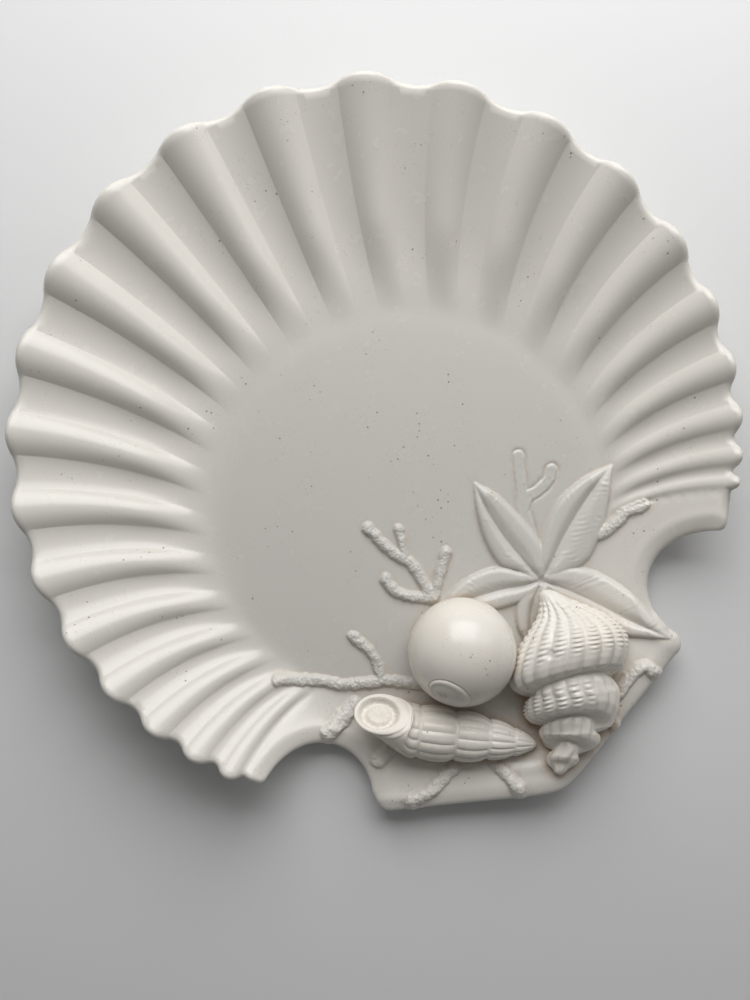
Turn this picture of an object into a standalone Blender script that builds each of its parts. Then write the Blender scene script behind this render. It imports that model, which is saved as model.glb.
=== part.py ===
"""A slip-cast shell platter: a fluted fan round a flat well, two round notches beside a pointed hinge, and
shells, corals and leaves in high relief by the hinge. One fired piece, glazed white.

Metres, +Z up. The origin is on the flat base, under the centre of the round rim. +Y runs to the fan's far end,
and the hinge points to -Y. Angles round the rim are counted from +Y, positive towards -X, which is the left."""

from math import acos, atan2, cos, hypot, pi, radians, sin, sqrt, tan

import bmesh
import bpy
from mathutils import Matrix, Vector

# The dish
FAN_RADIUS = 0.1895
FAN_HEIGHT = 0.042
WALL = 0.0060
WELL_RADIUS = 0.108
WELL_SHIFT = 0.038  # the well's centre lies this far towards the hinge
DISH_CURVE = 1.45  # 1 is a straight cone, and more leaves the well more softly
BASE_INSET = 0.012  # the flat base stops this far inside the well's edge
LOW_SIDE_START = radians(118)  # the wall comes down from here, counted round the well from the fan's middle
LOW_SIDE_RUN = radians(32)  # and is down at the hinge's height after this much more

# The fan's flutes: rounded ribs with flat channels between them
RIBS_PER_SIDE = 11  # beside the middle one
RIB_SPREAD = radians(15.1)  # from one rib to the next, at the middle of the fan
RIB_CROWDING = radians(0.030)  # and closer together towards the hinge
RIB_LEAN = radians(4.7)  # ribs down both sides stand this far round to the right
RIB_LEAN_RUN = 15  # counted in ribs: the lean is greatest halfway
MIDDLE_RIB_ANGLE = radians(4.0)
RIB_SHARE = 0.56  # of the width that a rib and its channel have
RIB_HEIGHT = 0.0058
CHANNEL_DEPTH = 0.0012
RIB_FADE = 0.55  # share of the wall over which a rib runs out towards the well
LOBE = 0.0013  # the rim's wave, in and out
INNER_LEAN = radians(4.5)  # ribs bend away from the hinge as they reach the well
RIB_BOW = 0.006

# The notches and the hinge
NOTCH_RADIUS = 0.0305
NOTCH_ANGLES = (radians(37.9), radians(38.6))  # left and right, from the hinge's point, round the rim
NOTCH_OFFSET = 0.0065  # a notch's centre lies this far outside the fan's circle
HINGE_REACH = 0.0225  # the hinge's point stands out of the fan's circle
HINGE_HEIGHT = 0.016
HINGE_SLOPE = radians(22.3)
HINGE_FLARES = (0.0020, 0.0042)  # left and right: the hinge is this much wider than the notches leave it
HINGE_POINT_ROUNDING = 0.0035
CORNER_ROUNDING = 0.0060
SHOULDER_WIDTH = 0.010  # the surface rolls over towards the edge of a notch and of the hinge
SHOULDER_DROP = 0.0045

# The relief. Places are measured from a spot just inside the hinge's point, across to +X and up the fan to +Y.
RELIEF_SPOT = (-0.0005, 0.0018)  # from the hinge's point
SNAIL_RADIUS = 0.0280
SNAIL_PLACE = (-0.011, 0.092)
SNAIL_CENTRE_RISE = 0.019  # above the dish
SNAIL_SPIRE = ((0.0190, 0.0018), (0.0100, 0.0028), (0.0045, 0.0038))  # each whorl's radius, and its rise
SNAIL_SPIRE_TURN = radians(133)
SNAIL_SPIRE_TILT = radians(35)

WHELK_TIP = (0.0034, 0.0067)
WHELK_SIPHON = (0.0446, 0.1015)
WHELK_TIP_RISE = 0.0035
WHELK_SIPHON_RISE = 0.014
# Stations along the axis as a share of its length, the radius there, and how far the shell bows to the right
WHELK_PROFILE = ((0.0, 0.0015, 0.0), (0.04, 0.0066, 0.0030), (0.10, 0.0090, 0.0048), (0.135, 0.0090, 0.0055),
                 (0.165, 0.0142, 0.0062), (0.215, 0.0166, 0.0074), (0.255, 0.0172, 0.0084),
                 (0.285, 0.0216, 0.0090), (0.36, 0.0244, 0.0096), (0.43, 0.0250, 0.0098), (0.475, 0.0284, 0.0096),
                 (0.55, 0.0316, 0.0092), (0.66, 0.0308, 0.0096), (0.78, 0.0222, 0.0106), (0.90, 0.0120, 0.0085),
                 (1.0, 0.0045, 0.0010))
WHELK_RIBS = 18
WHELK_RIB_HEIGHT = 0.0012

TOWER_START = (-0.0690, 0.0781)
TOWER_TIP = (-0.0003, 0.0265)
TOWER_START_RISE = 0.010
TOWER_TIP_RISE = 0.004
TOWER_MOUTH_SHIFT = (0.0031, 0.0056, 0.0030)  # the broken end stands this far off the axis
TOWER_PROFILE = ((0.0, 0.0130), (0.17, 0.0142), (0.25, 0.0138), (0.29, 0.0132), (0.42, 0.0134),
                 (0.48, 0.0126), (0.52, 0.0122), (0.66, 0.0110), (0.71, 0.0098), (0.80, 0.0082), (0.86, 0.0064),
                 (0.94, 0.0042), (1.0, 0.0012))
TOWER_RIDGES = 10
TOWER_RIDGE_HEIGHT = 0.0009
TOWER_MOUTH_FACING = Vector((0.20, 0.56, 0.80))  # the broken end looks this way
TOWER_TURN_RUN = 0.3  # share of the length over which the shell turns from there into its axis
TOWER_PLAIN_END = 0.1  # share of the length, at the broken end, over which the ridges rise
TOWER_LIP = 0.0030
TOWER_MOUTH_DEPTH = 0.0030
TOWER_MOUTH_TAPER = 0.0016  # the recess is this much narrower at its floor

LEAF_ROOT = (0.045, 0.103)
LEAF_THICKNESS = 0.0034
LEAF_VALLEY = 0.0020
LEAF_LAYER = 0.0004  # each leaf lies this much over the last
# Half a leaf's section: the place across as a share of its half width, and the rise as a share of its thickness
LEAF_SECTION = ((1.0, -0.8), (0.62, 0.9), (0.25, 0.8))
LEAF_LEAN = 0.85  # below 1 the widest place lies nearer the root
LEAF_FULLNESS = 0.8  # below 1 the sides are rounder
LEAF_THIN_END = 0.5  # where a leaf is narrower than this share of its width, it is thinner too
# Each leaf's tip and width
LEAVES = (((0.039, 0.166), 0.025), ((0.110, 0.138), 0.029), ((0.090, 0.042), 0.033), ((-0.008, 0.115), 0.027),
          ((0.020, 0.070), 0.018))

CORAL_RADIUS = 0.0031
CORAL_BURIAL = 0.0009  # the twig's centre lies this far under the surface beside it
CORAL_END_RADIUS = 0.0015
CORAL_END_LENGTH = 0.0022
# Each twig's route
CORALS = (
    ((0.052, 0.126), (0.055, 0.144), (0.061, 0.158), (0.067, 0.168)),
    ((0.059, 0.138), (0.073, 0.147), (0.082, 0.154)),
    ((-0.012, 0.122), (-0.012, 0.143), (-0.020, 0.163), (-0.024, 0.173)),
    ((-0.0138, 0.1525), (-0.010, 0.164)),
    ((-0.0095, 0.1235), (-0.002, 0.131), (0.007, 0.138)),
    ((-0.0145, 0.1245), (-0.021, 0.128), (-0.028, 0.134), (-0.030, 0.143)),
    ((-0.044, 0.084), (-0.058, 0.094), (-0.079, 0.103), (-0.096, 0.118), (-0.107, 0.123)),
    ((-0.0572, 0.0975), (-0.058, 0.117), (-0.063, 0.128)),
    ((-0.078, 0.089), (-0.096, 0.084)),
    ((-0.064, 0.065), (-0.074, 0.061), (-0.083, 0.058)),
    ((-0.035, 0.035), (-0.051, 0.033), (-0.072, 0.030)),
    ((-0.025, 0.029), (-0.022, 0.017), (-0.020, 0.010)),
    ((0.052, 0.029), (0.063, 0.033), (0.072, 0.036), (0.074, 0.029)),
    ((0.0395, 0.0255), (0.0385, 0.0185)),
    ((0.084, 0.108), (0.094, 0.110), (0.104, 0.112), (0.117, 0.108)),
)

# How finely each surface is cut
RIB_COLUMNS = (-0.5, -0.25, 0.0, 0.25, 0.5)  # across a rib's own width, and one more in each channel's middle
HINGE_STEPS = 5
NOTCH_SIDES = 56
SHOULDER_STEPS = 4
LIP_ANGLES = (90, 45, 0, -45, -90)
WELL_ROWS = (0.9,)
WALL_ROWS = (0.95, 0.86, 0.74, 0.60, 0.46, 0.32, 0.17, 0.0)
BACK_ROWS = (0.78, 0.45, 0.15)
SLOPE_STEP = 0.02  # share of the wall over which its slope is read
SIDES_PER_RIDGE = 3  # of a turned shell
FINEST_RIDGE = 1 / 8  # a ridge stands out by no more than this share of its ring's radius
SNAIL_SIDES = 28
WHORL_SIDES = 18
CORAL_SIDES = 8
LEAF_STATIONS = (0.03, 0.14, 0.30, 0.46, 0.62, 0.78, 0.92, 0.99)
CUTTER_LIFT = 0.0004  # a cutter's flare ends this far above the surface
SAME_POINT = 0.000003  # corners nearer than this become one after the joins and cuts
SEAT = 0.26  # the first piece of relief reaches down to this share of the wall, and each next one a step deeper
SEAT_STEP = 0.012

HINGE_Y = -(FAN_RADIUS + HINGE_REACH)
WELL_CENTRE = Vector((0, -WELL_SHIFT))
GLAZE = (0.78, 0.765, 0.735, 1)


def clear_scene():
    for obj in list(bpy.data.objects):
        bpy.data.objects.remove(obj, do_unlink=True)


def ease(share):
    """0 to 1 with a soft start and end."""
    share = min(max(share, 0.0), 1.0)
    return share * share * (3 - 2 * share)


def on_ring(centre, radius, angle):
    return centre + radius * Vector((-sin(angle), cos(angle)))


def rib_angle(index):
    """The rim angle of a rib, or of a place between two where index isn't whole."""
    spread = RIB_SPREAD * index - RIB_CROWDING * index ** 3
    lean = RIB_LEAN * sin(pi * abs(index) / RIB_LEAN_RUN) ** 2
    return MIDDLE_RIB_ANGLE + spread - lean


def rib_profile(index):
    """-1 in the middle of a channel, 0 at a rib's foot, 1 along its crest."""
    offset = abs(index - round(index))
    half = RIB_SHARE / 2
    if offset < half:
        return 1 - (offset / half) ** 2
    return ((offset - 0.5) / (0.5 - half)) ** 2 - 1


# The outline, as columns: a point of the rim, and the rib index there, or None beside the fan
def fan_columns():
    columns = []
    for rib in range(-RIBS_PER_SIDE, RIBS_PER_SIDE + 1):
        for share in RIB_COLUMNS:
            columns.append(rib + share * RIB_SHARE)
        columns.append(rib + 0.5)
    points = []
    for index in columns:
        reach = FAN_RADIUS + LOBE * rib_profile(index)
        points.append((on_ring(Vector((0, 0)), reach, rib_angle(index)), index))
    return points


def rounded(before, corner, after):
    """Three points that take the sharpness off a corner."""
    first = corner + (before - corner).normalized() * CORNER_ROUNDING
    last = corner + (after - corner).normalized() * CORNER_ROUNDING
    middle = (first + 2 * corner + last) / 4
    return [first, middle, last]


def hinge_edge(x):
    """The hinge's edge line: two straight sides that meet in a rounded point."""
    soft = HINGE_POINT_ROUNDING
    return Vector((x, HINGE_Y - soft + sqrt(soft ** 2 + (x * tan(HINGE_SLOPE)) ** 2)))


def notch_centre(angle):
    """The centre of a notch on the left at this angle from the hinge."""
    return on_ring(Vector((0, 0)), FAN_RADIUS + NOTCH_OFFSET, pi - angle)


def side_line(notch_angle, flare):
    """From the fan's last column on the left to the hinge's point. What lies in the notch is cut away afterwards."""
    reach = FAN_RADIUS + NOTCH_OFFSET
    bite = acos((FAN_RADIUS ** 2 + reach ** 2 - NOTCH_RADIUS ** 2) / (2 * FAN_RADIUS * reach))
    ear = pi - notch_angle - bite
    turn_in = CORNER_ROUNDING / FAN_RADIUS
    origin = Vector((0, 0))
    points = [on_ring(origin, FAN_RADIUS, ear - turn_in),
              on_ring(origin, FAN_RADIUS - CORNER_ROUNDING / 4, ear),
              on_ring(origin, FAN_RADIUS - CORNER_ROUNDING * 1.5, ear + turn_in)]
    centre = notch_centre(notch_angle)
    side = centre.x + NOTCH_RADIUS - flare
    beside = Vector((side, centre.y))
    corner = hinge_edge(side)
    points += [(points[-1] + beside) / 2, beside]
    last = side + 2 * CORNER_ROUNDING
    edge = [hinge_edge(last * (1 - step / HINGE_STEPS)) for step in range(HINGE_STEPS + 1)]
    return points + rounded(beside, corner, edge[1]) + edge


def outline():
    left, mirrored = (side_line(angle, flare) for angle, flare in zip(NOTCH_ANGLES, HINGE_FLARES))
    right = [Vector((-point.x, point.y)) for point in reversed(mirrored[:-1])]
    return fan_columns() + [(point, None) for point in left + right]


# The surface
def rim_turn(point):
    return atan2(-point.x, point.y)


def well_point(rim):
    """Where the column from this point of the rim ends, on the well's edge."""
    turn = rim_turn(rim)
    return on_ring(WELL_CENTRE, WELL_RADIUS, turn - INNER_LEAN * sin(turn))


def on_well(rim, share):
    """A point of the flat well, at this share of its radius."""
    spot = WELL_CENTRE + (well_point(rim) - WELL_CENTRE) * share
    return Vector((spot.x, spot.y, WALL))


def along(rim, share):
    """A point of the column from the well's edge (0) to the rim (1). The columns bow like the ribs."""
    well = well_point(rim)
    run = rim - well
    side = Vector((-run.y, run.x)).normalized()
    bow = 4 * RIB_BOW * share * (1 - share) * sin(rim_turn(rim))
    return well + run * share - side * bow


def dish_height(point):
    """The top surface without ribs."""
    out = Vector(point) - WELL_CENTRE
    if out.length <= WELL_RADIUS:
        return WALL
    way = out.normalized()
    ahead = WELL_CENTRE.dot(way)
    full = sqrt(ahead ** 2 + FAN_RADIUS ** 2 - WELL_SHIFT ** 2) - ahead - WELL_RADIUS
    share = (out.length - WELL_RADIUS) / full
    turn = abs(atan2(-out.x, out.y))
    height = FAN_HEIGHT + (HINGE_HEIGHT - FAN_HEIGHT) * ease((turn - LOW_SIDE_START) / LOW_SIDE_RUN)
    bend = share ** DISH_CURVE if share < 1 else 1 + DISH_CURVE * (share - 1)
    return WALL + (height - WALL) * bend


def ribs_here(index, share):
    """How far the flutes lift or lower the surface. They are lower where they stand closer together."""
    if index is None:
        return 0
    pitch = abs(rib_angle(index + 0.5) - rib_angle(index - 0.5)) / RIB_SPREAD
    profile = rib_profile(index)
    amount = RIB_HEIGHT * profile * pitch if profile > 0 else CHANNEL_DEPTH * profile
    return amount * ease(share / RIB_FADE)


def shoulder_here(index, inset):
    if index is not None or inset >= SHOULDER_WIDTH:
        return 0
    return -SHOULDER_DROP * (1 - inset / SHOULDER_WIDTH) ** 2


def surface(rim, index, share):
    point = along(rim, share)
    length = (rim - well_point(rim)).length
    height = dish_height(point) + ribs_here(index, share) + shoulder_here(index, length * (1 - share))
    return Vector((point.x, point.y, height))


def back_surface(rim, index, share):
    """The underside, one wall below the top and flat where the platter stands."""
    top = surface(rim, index, share)
    rise = surface(rim, index, share + SLOPE_STEP) - surface(rim, index, share - SLOPE_STEP)
    slope = rise.z / hypot(rise.x, rise.y)
    return Vector((top.x, top.y, max(top.z - WALL * sqrt(1 + slope ** 2), 0)))


def column(rim, index):
    """Top of the wall, the half-round lip, and the underside, as one line of points."""
    length = (rim - well_point(rim)).length
    lip = WALL / 2
    edge = 1 - lip / length
    rows = [share * edge for share in reversed(WALL_ROWS)]
    points = [on_well(rim, share) for share in WELL_ROWS]
    points += [surface(rim, index, share) for share in rows]
    crown = surface(rim, index, edge)
    out = (rim - well_point(rim)).normalized()
    for angle in LIP_ANGLES:
        reach = lip * cos(radians(angle))
        points.append(Vector((crown.x + out.x * reach, crown.y + out.y * reach,
                              crown.z - lip + lip * sin(radians(angle)))))
    points += [back_surface(rim, index, share * edge) for share in BACK_ROWS]
    foot = on_ring(WELL_CENTRE, WELL_RADIUS - BASE_INSET, rim_turn(rim) - INNER_LEAN * sin(rim_turn(rim)))
    points.append(Vector((foot.x, foot.y, 0)))
    return points


def object_from(name, bm, material):
    bmesh.ops.recalc_face_normals(bm, faces=bm.faces)
    mesh = bpy.data.meshes.new(name)
    bm.to_mesh(mesh)
    bm.free()
    mesh.materials.append(material)
    mesh.shade_smooth()
    obj = bpy.data.objects.new(name, mesh)
    bpy.context.scene.collection.objects.link(obj)
    return obj


def closed_rings(bm, rings):
    """Skins rings of points, each closed on itself, and caps the first and the last with a fan."""
    rows = [[bm.verts.new(point) for point in ring] for ring in rings]
    count = len(rows[0])
    for near, far in zip(rows, rows[1:]):
        for k in range(count):
            after = (k + 1) % count
            bm.faces.new((near[k], near[after], far[after], far[k]))
    for row, points in ((rows[0], rings[0]), (rows[-1], rings[-1])):
        middle = bm.verts.new(sum(points, Vector((0, 0, 0))) / count)
        for k in range(count):
            bm.faces.new((row[k], row[(k + 1) % count], middle))


def platter_body(material):
    columns = [column(rim, index) for rim, index in outline()]
    rings = [list(ring) for ring in zip(*columns)]
    bm = bmesh.new()
    closed_rings(bm, rings)
    return object_from("shell_platter", bm, material)


def notch_cutter(name, angle, mirror, material):
    """A round cutter whose upper part flares, so that the surface rolls over into the notch."""
    centre = notch_centre(angle)
    centre.x *= mirror
    rings = []

    def ring(radius, height):
        points = []
        for side in range(NOTCH_SIDES):
            spot = on_ring(centre, radius, 2 * pi * side / NOTCH_SIDES)
            points.append(Vector((*spot, height(spot))))
        rings.append(points)

    ring(NOTCH_RADIUS, lambda spot: -WALL)
    for step in range(SHOULDER_STEPS + 1):
        share = step / SHOULDER_STEPS
        drop = SHOULDER_DROP * (1 - share) ** 2 - CUTTER_LIFT * share
        ring(NOTCH_RADIUS + SHOULDER_WIDTH * share, lambda spot: dish_height(spot) - drop)
    ring(NOTCH_RADIUS + SHOULDER_WIDTH, lambda spot: 2 * FAN_HEIGHT)
    bm = bmesh.new()
    closed_rings(bm, rings)
    cutter = object_from(name, bm, material)
    cutter.hide_render = True
    cutter.display_type = "WIRE"
    return cutter


def cut_notches(body, material):
    for name, angle, mirror in (("left_notch", NOTCH_ANGLES[0], 1), ("right_notch", NOTCH_ANGLES[1], -1)):
        cut = body.modifiers.new(name, "BOOLEAN")
        cut.operation = "DIFFERENCE"
        cut.solver = "EXACT"
        cut.object = notch_cutter(f"{name}_cutter", angle, mirror, material)
        cut.object.parent = body


# The relief
def from_hinge(place):
    return Vector((RELIEF_SPOT[0] + place[0], HINGE_Y + RELIEF_SPOT[1] + place[1]))


def seat(bm, order):
    """Stops a piece inside the wall. No two pieces reach equally deep, so their undersides never meet."""
    depth = WALL * (SEAT + SEAT_STEP * order)
    for vertex in bm.verts:
        vertex.co.z = max(vertex.co.z, dish_height(vertex.co.xy) - depth)


def relief_piece(name, bm, order, material):
    seat(bm, order)
    bmesh.ops.triangulate(bm, faces=bm.faces)
    piece = object_from(name, bm, material)
    piece.hide_render = True
    piece.display_type = "WIRE"
    return piece


def ball(name, centre, radius, sides, order, material):
    bm = bmesh.new()
    bmesh.ops.create_uvsphere(bm, u_segments=sides, v_segments=sides // 2, radius=radius,
                              matrix=Matrix.Translation(centre))
    return relief_piece(name, bm, order, material)


def moon_snail(order, material):
    place = from_hinge(SNAIL_PLACE)
    centre = Vector((place.x, place.y, dish_height(place) + SNAIL_CENTRE_RISE))
    level = on_ring(Vector((0, 0)), cos(SNAIL_SPIRE_TILT), SNAIL_SPIRE_TURN)
    way = Vector((level.x, level.y, sin(SNAIL_SPIRE_TILT)))
    pieces = [ball("moon_snail", centre, SNAIL_RADIUS, SNAIL_SIDES, order, material)]
    for whorl, (radius, rise) in enumerate(SNAIL_SPIRE):
        spot = centre + way * (SNAIL_RADIUS + rise - radius)
        name = f"moon_snail_whorl_{whorl + 1}"
        pieces.append(ball(name, spot, radius, WHORL_SIDES, order + 1 + whorl, material))
    return pieces


def turned_ring(centre, axis, radius, sides, ridges=0, ridge_height=0.0, start=None):
    """A ring of a turned shell, with ridges that run along it. It starts level, or from the way given."""
    start = start or axis.cross(Vector((0, 0, 1)))
    across = (start - start.project(axis)).normalized()
    over = across.cross(axis).normalized()
    points = []
    for k in range(sides):
        turn = 2 * pi * k / sides
        swell = radius + ridge_height * cos(ridges * turn)
        points.append(centre + swell * (cos(turn) * across + sin(turn) * over))
    return points


def whelk(order, material):
    tip_place, siphon_place = from_hinge(WHELK_TIP), from_hinge(WHELK_SIPHON)
    tip = Vector((*tip_place, dish_height(tip_place) + WHELK_TIP_RISE))
    siphon = Vector((*siphon_place, dish_height(siphon_place) + WHELK_SIPHON_RISE))
    axis = siphon - tip
    right = axis.cross(Vector((0, 0, 1))).normalized()
    sides = SIDES_PER_RIDGE * WHELK_RIBS
    bm = bmesh.new()
    rings = []
    for share, radius, bow in WHELK_PROFILE:
        ridge = min(WHELK_RIB_HEIGHT, radius * FINEST_RIDGE)
        rings.append(turned_ring(tip + axis * share + right * bow, axis, radius, sides, WHELK_RIBS, ridge))
    closed_rings(bm, rings)
    return relief_piece("whelk", bm, order, material)


def tower_shell(order, material):
    start_place, tip_place = from_hinge(TOWER_START), from_hinge(TOWER_TIP)
    start = Vector((*start_place, dish_height(start_place) + TOWER_START_RISE))
    tip = Vector((*tip_place, dish_height(tip_place) + TOWER_TIP_RISE))
    axis = tip - start
    level = axis.cross(Vector((0, 0, 1)))
    inward = -TOWER_MOUTH_FACING.normalized()
    sides = SIDES_PER_RIDGE * TOWER_RIDGES
    rings = []
    for share, radius in TOWER_PROFILE:
        turned = ease(share / TOWER_TURN_RUN)
        centre = start + axis * share + Vector(TOWER_MOUTH_SHIFT) * (1 - turned)
        way = inward.lerp(axis.normalized(), turned)
        ridge = min(TOWER_RIDGE_HEIGHT, radius * FINEST_RIDGE) * ease(share / TOWER_PLAIN_END)
        rings.append(turned_ring(centre, way, radius, sides, TOWER_RIDGES, ridge, level))
    mouth = start + Vector(TOWER_MOUTH_SHIFT)
    inner = TOWER_PROFILE[0][1] - TOWER_LIP
    rings.insert(0, turned_ring(mouth, inward, inner, sides, start=level))
    floor = mouth + inward * TOWER_MOUTH_DEPTH
    rings.insert(0, turned_ring(floor, inward, inner - TOWER_MOUTH_TAPER, sides, start=level))
    bm = bmesh.new()
    closed_rings(bm, rings)
    return relief_piece("tower_shell", bm, order, material)


def coral_twig(number, route, order, material):
    """A round twig along its route, half sunk, with a blunt end at both ends."""
    points = []
    for place in route:
        spot = from_hinge(place)
        points.append(Vector((*spot, dish_height(spot) - CORAL_BURIAL)))
    last = len(points) - 1
    axes = [(points[min(k + 1, last)] - points[max(k - 1, 0)]).normalized() for k in range(len(points))]
    rings = [turned_ring(points[0] - axes[0] * CORAL_END_LENGTH, axes[0], CORAL_END_RADIUS, CORAL_SIDES)]
    rings += [turned_ring(point, axis, CORAL_RADIUS, CORAL_SIDES) for point, axis in zip(points, axes)]
    rings.append(turned_ring(points[-1] + axes[-1] * CORAL_END_LENGTH, axes[-1], CORAL_END_RADIUS, CORAL_SIDES))
    bm = bmesh.new()
    closed_rings(bm, rings)
    return relief_piece(f"coral_{number}", bm, order, material)


def leaf(number, tip_place, width, order, material):
    """A pillow with a valley along its midrib. Its edge dips into the dish."""
    root, tip = from_hinge(LEAF_ROOT), from_hinge(tip_place)
    run = tip - root
    side = Vector((-run.y, run.x)).normalized()
    midrib = (0.0, 1 - LEAF_VALLEY / LEAF_THICKNESS)
    section = [(-offset, rise) for offset, rise in LEAF_SECTION] + [midrib] + list(reversed(LEAF_SECTION))
    rings = []
    for share in LEAF_STATIONS:
        fullness = sin(pi * share ** LEAF_LEAN) ** LEAF_FULLNESS
        thickness = LEAF_THICKNESS * min(1, fullness / LEAF_THIN_END)
        top = []
        for offset, rise in section:
            spot = root + run * share + side * width / 2 * fullness * offset
            top.append(Vector((*spot, dish_height(spot) + thickness * rise + LEAF_LAYER * number)))
        under = [Vector((point.x, point.y, dish_height(point.xy) - WALL)) for point in (top[-2], top[1])]
        rings.append(top + under)
    bm = bmesh.new()
    closed_rings(bm, rings)
    return relief_piece(f"leaf_{number}", bm, order, material)


def glaze():
    material = bpy.data.materials.new("glaze")
    material.use_nodes = True
    shader = material.node_tree.nodes["Principled BSDF"]
    shader.inputs["Base Color"].default_value = GLAZE
    shader.inputs["Roughness"].default_value = 0.22
    shader.inputs["Metallic"].default_value = 0.0
    return material


def fuse(body, pieces):
    """Joins the relief to the platter, which are one casting."""
    relief = bpy.data.collections.new("relief")
    bpy.context.scene.collection.children.link(relief)
    for piece in pieces:
        bpy.context.scene.collection.objects.unlink(piece)
        relief.objects.link(piece)
        piece.parent = body
    join = body.modifiers.new("relief", "BOOLEAN")
    join.operation = "UNION"
    join.solver = "EXACT"
    join.operand_type = "COLLECTION"
    join.collection = relief


def relief(material):
    pieces = moon_snail(0, material)
    pieces.append(whelk(len(pieces), material))
    pieces.append(tower_shell(len(pieces), material))
    for number, route in enumerate(CORALS):
        pieces.append(coral_twig(number + 1, route, len(pieces), material))
    for number, (tip, width) in enumerate(LEAVES):
        pieces.append(leaf(number + 1, tip, width, len(pieces), material))
    return pieces


def main():
    clear_scene()
    material = glaze()
    body = platter_body(material)
    fuse(body, relief(material))
    cut_notches(body, material)
    merge = body.modifiers.new("merge", "WELD")
    merge.merge_threshold = SAME_POINT


main()
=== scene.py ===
"""Looks of a slip-cast shell platter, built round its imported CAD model.

Metres, +Z up. The origin is on the flat base, under the centre of the fan's round rim. +Y runs to the fan's
far end and the hinge points to -Y. Angles round the rim are counted from +Y, positive towards -X."""

from math import acos, atan2, cos, pi, radians, sin, sqrt, tan

import bpy
import numpy as np
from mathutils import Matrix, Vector, noise
from mathutils.bvhtree import BVHTree
from mathutils.geometry import delaunay_2d_cdt


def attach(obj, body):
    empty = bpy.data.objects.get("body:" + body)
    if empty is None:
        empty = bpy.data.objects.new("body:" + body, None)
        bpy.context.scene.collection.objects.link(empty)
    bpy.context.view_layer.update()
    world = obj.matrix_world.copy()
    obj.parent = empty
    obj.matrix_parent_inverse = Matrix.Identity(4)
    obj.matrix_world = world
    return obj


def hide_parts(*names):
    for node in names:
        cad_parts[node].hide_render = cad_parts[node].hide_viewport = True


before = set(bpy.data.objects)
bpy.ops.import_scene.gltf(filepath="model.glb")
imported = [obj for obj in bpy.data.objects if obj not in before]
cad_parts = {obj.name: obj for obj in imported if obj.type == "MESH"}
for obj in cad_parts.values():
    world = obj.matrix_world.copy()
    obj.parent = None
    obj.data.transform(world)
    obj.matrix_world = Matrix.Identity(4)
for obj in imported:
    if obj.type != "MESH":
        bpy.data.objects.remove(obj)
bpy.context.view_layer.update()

MM = 0.001

# The dish, as it is cast
FAN_RADIUS = 0.1895
RIM_GAP = 0.0004  # the glazed rim stays this far inside the cast outline
FAN_HEIGHT = 0.042
WALL = 0.0060
WELL_RADIUS = 0.108
WELL_SHIFT = 0.038
DISH_CURVE = 1.45
LOW_SIDE_START = radians(118)  # from here the rim falls to the hinge's height
LOW_SIDE_RUN = radians(32)

RIBS_PER_SIDE = 11
RIB_SPREAD = radians(15.1)
RIB_CROWDING = radians(0.030)
RIB_LEAN = radians(4.7)
RIB_LEAN_RUN = 15
MIDDLE_RIB_ANGLE = radians(4.0)
RIB_SHARE = 0.56
RIB_HEIGHT = 0.0058
CHANNEL_DEPTH = 0.0012
RIB_FADE = 0.44  # share of the wall over which the ribs rise out of the well
LOBE = 0.0013  # how far each rib pushes the rim outwards
INNER_LEAN = radians(4.5)
RIB_BOW = 0.006
CREASE_SOFTNESS = 0.006  # share of a rib's pitch over which the glaze rounds its creases

NOTCH_RADIUS = 0.0305
NOTCH_ANGLES = (radians(37.9), radians(38.6))  # left and right
NOTCH_OFFSET = 0.0065
HINGE_REACH = 0.0225
HINGE_SLOPE = radians(22.3)
HINGE_HEIGHT = 0.016
HINGE_FLARES = (0.0020, 0.0042)
HINGE_POINT_ROUNDING = 0.0035
CORNER_ROUNDING = 0.0060
SHOULDER_WIDTH = 0.010
SHOULDER_DROP = 0.0045
CREST = 0.0005  # a low crest runs along the shoulder beside the notches
CREST_WIDTH = 1.7 * MM
CREST_END, CREST_FADE = -0.176, 0.02  # it dies away towards the hinge
EAR_RUN = 0.0045  # how far the ear's tip is rounded on either side
HINGE_Y = -(FAN_RADIUS + HINGE_REACH)

# The relief. Places are measured from a spot just inside the hinge's point.
RELIEF_SPOT = (-0.0005, 0.0018)
LEAF_RISE = 0.0036
LEAF_VALLEY = 0.85  # share of the rise that the valley along the midrib takes away
VALLEY_REACH = 0.46  # share of the way from the midrib to the edge
FOLD_PITCH = 3.8 * MM
FOLD_RISE = 0.13 * MM
NUB_SIZE = 3.4 * MM
NUB_RISE = 0.38 * MM
PIT_SIZE = 1.7 * MM
PIT_DEPTH = 0.62 * MM
OUTLINE_RISE = 0.32 * MM
OUTLINE_GROOVE = 0.60 * MM
OUTLINE_ROUGHNESS = 0.12  # how far the nubs swell a twig, as a share of its radius
TWIG_ROUGHNESS = 0.26
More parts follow.
